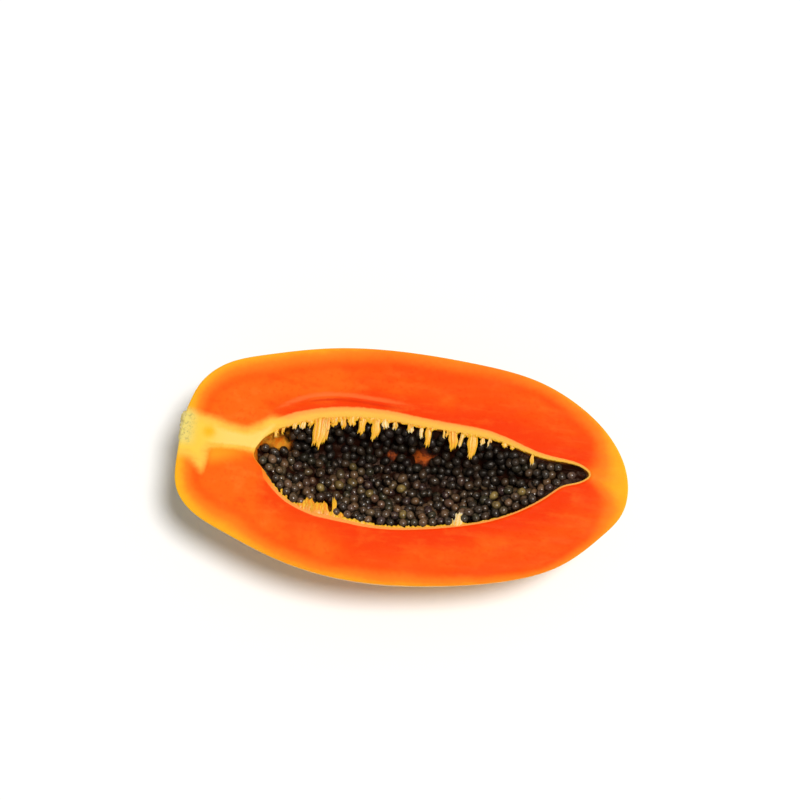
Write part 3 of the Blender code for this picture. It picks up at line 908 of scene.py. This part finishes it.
def tongues(settings):
    """Points, faces and tones of the tongues of fibre, each a flat closed body that is pinched shut at both ends.

    Round a tongue runs an angle a, whose u = cos(a) goes across it over the top and back below, and along it runs t.
    The fibre at u starts inside the wall and reaches length x (1 - u^4/9 + two waves of u) over the hollow. It lies
    u x half width aside, the tongue leans and bends as it goes, and it droops with the square of its reach. The
    thickness is sin(a) x 0.3 to 1 mm, more on wide tongues, with ridges along the fibres, and 0 at both ends."""
    rng = np.random.default_rng(7)
    rows = [(0, *row) for row in UPPER_TONGUES] + [(1, *row) for row in LOWER_TONGUES]
    for x in rng.uniform(-60, 40, settings.fine):
        half = rng.uniform(0.3, 0.6)
        rows.append((0, x, rng.uniform(1.6, 4.4), half, half * rng.uniform(0.6, 1.4), rng.uniform(0.2, 1.1)))
    side, x, length, root, end, tone = np.array(rows).T[..., None, None]
    lower = side == 1
    steps, sides = 18, 32
    t = np.linspace(0, 1, steps)[:, None]
    angle = np.linspace(0, math.tau, sides, endpoint=False)
    u = np.cos(angle)

    def draw(low, high):
        return rng.uniform(low, high, x.shape)

    torn = 0.09 * np.sin(u * draw(3, 6) + draw(0, 6)) + 0.08 * np.sin(u * draw(9, 14) + draw(0, 6))
    full = length * (1 - u**4 / 9 + torn)
    reach = -TONGUE_ROOT + (full + TONGUE_ROOT) * t
    far = np.clip(reach / length, 0, 1)
    half = (root + (end - root) * far**0.8) * (1 + 0.12 * np.sin(far * draw(5, 12) + draw(0, 6)))
    half = half * np.sqrt(1 - 0.3 * ease(t, 0.88, 1.0) ** 2)
    bend = draw(-0.15, 0.05) * length * far**2 + 0.25 * np.sin(far * draw(4, 9) + draw(0, 6)) * far
    rim = np.where(lower, np.interp(x, *HOLLOW.lower.T), np.interp(x, *HOLLOW.upper.T))
    thick = (0.3 + 0.09 * root + 0.12 * end) * (1 + 0.25 * np.sin(u * draw(9, 16) + draw(0, 6)))
    thick = thick * np.sin(angle) * np.sqrt(np.clip(1 - (2 * t - 1) ** 8, 0, 1))
    droop = draw(0.08, 0.2) * length * far**2
    points = np.stack([
        x + u * half + reach * draw(-0.12, 0.12) + bend,
        rim + reach * np.where(lower, 1, -1) + 0 * u,
        np.where(lower, -1.5, -1.7) + draw(-0.2, 0.5) - droop * np.where(lower, 2, 1) + thick,
    ], axis=-1)
    fibres = 0.22 * np.sin(u * draw(6, 10) + draw(0, 6)) + 0.16 * np.sin(u * draw(16, 26) + draw(0, 6))
    tones = tone - 0.1 + fibres + 0.25 * ease(far, 0.75, 1.0) - 0.2 * ease(far, 0.35, 0)
    return points, repeat_faces(grid_faces(steps, sides, wrap=True), len(rows), steps * sides), {"tone": tones}


def fringe(settings):
    """Points, faces and tones of the ragged fringe: a thin closed ring round the hollow's rim, just under the cut.

    Its section is a flat ellipse from 1 mm inside the wall to a tip over the hollow. The tip's reach is the width
    in the tables, torn by two noises, and it droops with its reach."""
    count, sides = 1800, 8
    share = np.linspace(0, 1, count // 2, endpoint=False)
    loop = np.vstack([walk(HOLLOW.upper, share), walk(HOLLOW.lower, 1 - share)])
    way = unit(np.roll(loop, -1, axis=0) - np.roll(loop, 1, axis=0))
    inward = np.stack([way[:, 1], -way[:, 0]], axis=-1)
    upper = np.arange(count) < count // 2
    usual = np.where(upper, band(FRINGE_UPPER, loop[:, 0]), band(FRINGE_LOWER, loop[:, 0]))
    torn = 0.66 + 0.34 * ripple(loop, 3.8, 12) + 0.2 * ripple(loop, 1.5, 13)
    reach = usual * np.clip(torn, 0.05, 1.4) * settings.fringe
    angle = np.linspace(0, math.tau, sides, endpoint=False)
    across = (reach - 1.0)[:, None] / 2 + (reach + 1.0)[:, None] / 2 * np.cos(angle)
    thick = 0.36 * np.sin(angle) * (1 - 0.25 * np.clip(across, 0, 3))
    height = -1.25 + 0.2 * ripple(loop, 2.3, 14)[:, None] + thick - 0.12 * np.clip(across, 0, None) ** 1.5
    points = np.dstack([loop[:, None] + inward[:, None] * across[..., None], height])
    faces = grid_faces(count, sides, wrap=True)
    first = np.arange(sides)
    last = first + (count - 1) * sides
    seam = np.stack([last, np.roll(last, -1), np.roll(first, -1), first], axis=-1)
    tone = np.where(upper, 0.3, 0.55) + 0.22 * ripple(loop, 1.6, 15)
    tone = tone[:, None] + 0.35 * ease(across, 0.6, 2.4)
    return points, np.vstack([faces, seam]), {"tone": tone}


def seed_zone(share):
    """The turns between which seeds cover the wall, at these shares of the hollow's length.

    They start 2.4 mm below the upper rim at the ends and 4.4 mm in the middle, and stop 1.3 mm below the lower."""
    depth, below_upper = HOLLOW.depth(share), 2.4 + 2.0 * np.sin(math.pi * share)
    first = np.arcsin(np.clip(below_upper / depth, 0, 0.85))
    last = math.pi - np.arcsin(np.clip(1.3 / depth, 0, 0.85))
    return first, last


def seed_places(settings):
    """Centres, upward directions and layers of the seeds: random places, each kept if no kept seed is too near.

    The first go is a row of seeds just under the lower rim, and under the upper one near the tip. The second is
    spread over the wall. The third lies on these two where a smooth noise says that seeds are heaped, more so on
    the lower side. Up is the middle between the wall's inward normal and Z."""
    rng = np.random.default_rng(settings.seed)
    radius, spacing = settings.radius * PER_METRE, settings.spacing * PER_METRE
    kept, ups, layers = np.empty((0, 3)), [], []
    for layer, at_rim, tries in SEED_GOES:
        share = rng.uniform(*SEED_SPAN, tries)
        share = share[rng.uniform(0, 26, tries) < HOLLOW.depth(share) + 3]  # fewer where the wall is short
        if at_rim:
            below = radius + rng.uniform(0.1, 0.9, len(share))
            turn = np.arcsin(np.clip(below / HOLLOW.depth(share), 0, 0.95))
            turn = np.where((share > 0.88) & (rng.uniform(0, 1, len(share)) < 0.5), turn, math.pi - turn)
        else:
            turn = rng.uniform(*seed_zone(share))
        wall, inward = HOLLOW.point(share, turn), HOLLOW.inward(share, turn)
        lift = rng.uniform(radius + 0.1, radius + (0.3 if at_rim else 0.8), len(share))
        lift += layer * rng.uniform(2.1, 3.3, len(share))
        centres = wall + lift[:, None] * inward
        low = centres[:, 2] < 0.2 - radius
        shown = bare(centres[:, :2]) < 0.12
        heaped = ripple(wall, 22, 17) + 0.7 * (turn > 1.7) > 1.2 - 2.4 * settings.heaps
        fits = low & shown & (heaped | (layer == 0))
        for centre, up in zip(centres[fits], unit(inward + (0, 0, 1))[fits]):
            if not len(kept) or np.min(np.linalg.norm(kept - centre, axis=1)) > spacing:
                kept = np.vstack([kept, centre])
                ups.append(up)
                layers.append(layer)
    return kept, np.array(ups), np.array(layers)


def seed_bodies(centres, ups, radius, rng, sides=10, bands=6):
    """Points, faces and values of egg-shaped seeds, one at each centre, each its own size and turned at random.

    A seed is a sphere of latitude and longitude, stretched along its axis and thinner towards one end. Painted shade
    darkens it round its foot, and all over for the seeds in the upper middle of the hollow, by smooth steps of x and
    y."""
    latitude, longitude = np.meshgrid(
        np.linspace(0, math.pi, bands + 1), np.linspace(0, math.tau, sides, endpoint=False), indexing="ij"
    )
    taper = 1 + 0.12 * np.cos(latitude)
    ball = np.stack([
        np.sin(latitude) * np.cos(longitude) * taper, np.sin(latitude) * np.sin(longitude) * taper, np.cos(latitude),
    ], axis=-1).reshape(-1, 3)
    count = len(centres)
    size = radius * rng.uniform(0.9, 1.08, (count, 1)) * np.stack(
        [rng.uniform(0.94, 1.0, count), rng.uniform(0.94, 1.04, count), rng.uniform(1.06, 1.28, count)], axis=-1
    )
    frames, _ = np.linalg.qr(rng.normal(size=(count, 3, 3)))
    frames[..., 0] *= np.sign(np.linalg.det(frames))[:, None]
    points = centres[:, None] + np.einsum("vk,nk,njk->nvj", ball, size, frames)
    faces = repeat_faces(grid_faces(bands + 1, sides, wrap=True)[:, ::-1], count, len(ball))
    tone, tint = rng.uniform(0, 1, (2, count))
    x, y = centres[:, 0], centres[:, 1]
    # Painted shade over the seeds in the upper middle of the hollow
    painted_shade_middle = ease(y, -4, 5) * ease(x, -62, -42) * ease(-x, -72, -46)
    # Painted shade round each seed's foot: darker below its middle, measured along its up
    rise = np.einsum("nvk,nk->nv", points - centres[:, None], ups) / radius
    unshaded = (1 - painted_shade_middle)[:, None] * ease(rise, -0.1, 0.75)
    return points, faces, {
        "tone": np.repeat(tone, len(ball)), "tint": np.repeat(tint, len(ball)), "soaked": 1 - unshaded.ravel(),
    }


def pulp_bed():
    """Points and faces of the bed of pulp: a grid over the covered wall, doubled and closed along its border.

    Its upper side stands 2 mm off the wall, more or less by a noise, and sinks under the wall at the border and in
    the bare spots. Its lower side lies inside the fruit."""
    along, across = np.meshgrid(np.linspace(0, 1, 161), np.linspace(0, 1, 61))
    share = np.interp(along, (0, 1), BED_SPAN)
    first, last = seed_zone(share)
    turn = first + (last - first) * across
    wall, inward = HOLLOW.point(share, turn), HOLLOW.inward(share, turn)
    ends, edges = ease(along, 0, 0.03) * ease(-along, -1, -0.97), ease(across, 0, 0.06) * ease(-across, -1, -0.94)
    covered = ease(-bare(wall[..., :2], 0.5), -0.2, 0.15)
    thickness = np.minimum(ends, edges) * (0.3 + covered * (3.1 + 0.5 * ripple(wall, 5, 21)))
    upper, lower = wall + (thickness - BED_DEPTH)[..., None] * inward, wall - BED_DEPTH * inward
    rows, columns = wall.shape[:2]
    faces = np.vstack([grid_faces(rows, columns), grid_faces(rows, columns, rows * columns)])
    return np.vstack([upper.reshape(-1, 3), lower.reshape(-1, 3)]), faces


# ---------------------------------------------------------------- operators


class PAPAYA_OT_cut_half(bpy.types.Operator):
    """Builds the fruit: skin, cut face and the hollow's wall in one closed mesh"""

    bl_idname = "papaya.cut_half"
    bl_label = "Cut half"
    bl_options = {"REGISTER", "UNDO"}

    def execute(self, context):
        settings = context.scene.papaya_fruit
        wall = wall_material(settings, context.scene.papaya_seeds)
        make_piece("fruit", FRUIT, [skin_material(settings), flesh_material(settings), wall], *cut_half(settings))
        return {"FINISHED"}


class PAPAYA_OT_stem_scar(bpy.types.Operator):
    """Builds the corky scar where the stem was"""

    bl_idname = "papaya.stem_scar"
    bl_label = "Stem scar"
    bl_options = {"REGISTER", "UNDO"}

    def execute(self, context):
        make_piece("stem_scar", FRUIT, [scar_material()], *stem_scar())
        return {"FINISHED"}


class PAPAYA_OT_strands(bpy.types.Operator):
    """Builds the strands and the ragged fringe on the hollow's rim"""

    bl_idname = "papaya.strands"
    bl_label = "Strands"
    bl_options = {"REGISTER", "UNDO"}

    def execute(self, context):
        settings = context.scene.papaya_strands
        material = strand_material(settings)
        make_piece("rim_strands", FRUIT, [material], *tongues(settings))
        make_piece("rim_fringe", FRUIT, [material], *fringe(settings))
        return {"FINISHED"}


class PAPAYA_OT_seeds(bpy.types.Operator):
    """Builds the seeds, the few pale ones among them and the pulp that they sit in"""

    bl_idname = "papaya.seeds"
    bl_label = "Seeds"
    bl_options = {"REGISTER", "UNDO"}

    def execute(self, context):
        settings = context.scene.papaya_seeds
        centres, ups, layers = seed_places(settings)
        # The pale ones are the seeds nearest to PALE_SEEDS, where the upper layer counts as 3 mm nearer
        near = np.linalg.norm(centres[:, None, :2] - np.array(PALE_SEEDS), axis=-1) + 3 * (layers == 0)[:, None]
        pale = np.zeros(len(centres), bool)
        pale[np.argmin(near, axis=0)] = True
        rng = np.random.default_rng(settings.seed + 1)
        for name, chosen in (("seeds_dark", ~pale), ("seeds_pale", pale)):
            material = seed_material(f"papaya_{name}", settings, name == "seeds_pale")
            bodies = seed_bodies(centres[chosen], ups[chosen], settings.radius * PER_METRE, rng)
            make_piece(name, SEEDS, [material], *bodies)
        make_piece("seed_pulp", SEEDS, [pulp_material(settings)], *pulp_bed())
        return {"FINISHED"}


class PAPAYA_OT_stage(bpy.types.Operator):
    """Builds the floor, the lights and the camera"""

    bl_idname = "papaya.stage"
    bl_label = "Stage"
    bl_options = {"REGISTER", "UNDO"}

    def execute(self, context):
        settings = context.scene.papaya_stage
        mesh = bpy.data.meshes.new("floor")
        corners = [(x * FLOOR_REACH, y * FLOOR_REACH, 0) for x, y in ((-1, -1), (1, -1), (1, 1), (-1, 1))]
        mesh.from_pydata(corners, [], [(0, 1, 2, 3)])
        material, shader, place = new_material("floor", 0.3, Roughness=0.55)
        plug(shader, {"Base Color": place.noise(4, 2).blend(settings.floor, linear(253, 252, 251))})
        mesh.materials.append(material)
        place_object("floor", mesh)

        world = bpy.data.worlds.new("sky")
        world.use_nodes = True
        sky = world.node_tree.nodes["Background"]
        sky.inputs["Color"].default_value = (1.0, 0.985, 0.97, 1)
        way = Wire(world.node_tree.nodes.new("ShaderNodeTexCoord").outputs["Generated"])
        glow = way.part("Z").ease(*HORIZON) * (HORIZON_STRENGTH - settings.sky)
        plug(sky, {"Strength": settings.sky + glow})
        context.scene.world = world

        key = bpy.data.lights.new("key", "SUN")
        key.energy, key.angle = settings.key, KEY_ANGLE
        stand(place_object("key", key), KEY_AZIMUTH, KEY_ELEVATION, 1.0)
        camera = bpy.data.cameras.new("camera")
        camera.lens = settings.lens
        context.scene.camera = place_object("camera", camera)
        stand(context.scene.camera, settings.azimuth, settings.elevation, settings.distance)
        context.scene.view_settings.view_transform = "Standard"
        return {"FINISHED"}


def stand(thing, azimuth, elevation, distance):
    """Places a camera or light round AIM, and turns it to look there."""
    back = Vector((
        math.sin(azimuth) * math.cos(elevation), -math.cos(azimuth) * math.cos(elevation), math.sin(elevation),
    ))
    thing.location = AIM + back * distance
    thing.rotation_euler = back.to_track_quat("Z", "Y").to_euler()


class PAPAYA_PT_panel(bpy.types.Panel):
    """The papaya's pieces and their settings"""

    bl_label = "Papaya"
    bl_space_type = "VIEW_3D"
    bl_region_type = "UI"
    bl_category = "Papaya"

    def draw(self, context):
        for group, operators in (
            ("papaya_fruit", ("papaya.cut_half", "papaya.stem_scar")),
            ("papaya_strands", ("papaya.strands",)),
            ("papaya_seeds", ("papaya.seeds",)),
            ("papaya_stage", ("papaya.stage",)),
        ):
            box = self.layout.box()
            settings = getattr(context.scene, group)
            for name in settings.__annotations__:
                box.prop(settings, name)
            for operator in operators:
                box.operator(operator)


GROUPS = {
    "papaya_fruit": FruitSettings, "papaya_strands": StrandSettings,
    "papaya_seeds": SeedSettings, "papaya_stage": StageSettings,
}
OPERATORS = (
    PAPAYA_OT_cut_half, PAPAYA_OT_stem_scar, PAPAYA_OT_strands, PAPAYA_OT_seeds, PAPAYA_OT_stage,
)


def register():
    for kind in (*GROUPS.values(), *OPERATORS, PAPAYA_PT_panel):
        bpy.utils.register_class(kind)
    for name, kind in GROUPS.items():
        setattr(bpy.types.Scene, name, bpy.props.PointerProperty(type=kind))


def unregister():
    for name in GROUPS:
        delattr(bpy.types.Scene, name)
    for kind in (PAPAYA_PT_panel, *reversed(OPERATORS), *reversed(GROUPS.values())):
        bpy.utils.unregister_class(kind)


def main():
    register()
    bpy.ops.papaya.cut_half()
    bpy.ops.papaya.stem_scar()
    bpy.ops.papaya.strands()
    bpy.ops.papaya.seeds()
    bpy.ops.papaya.stage()


if __name__ == "__main__":
    main()
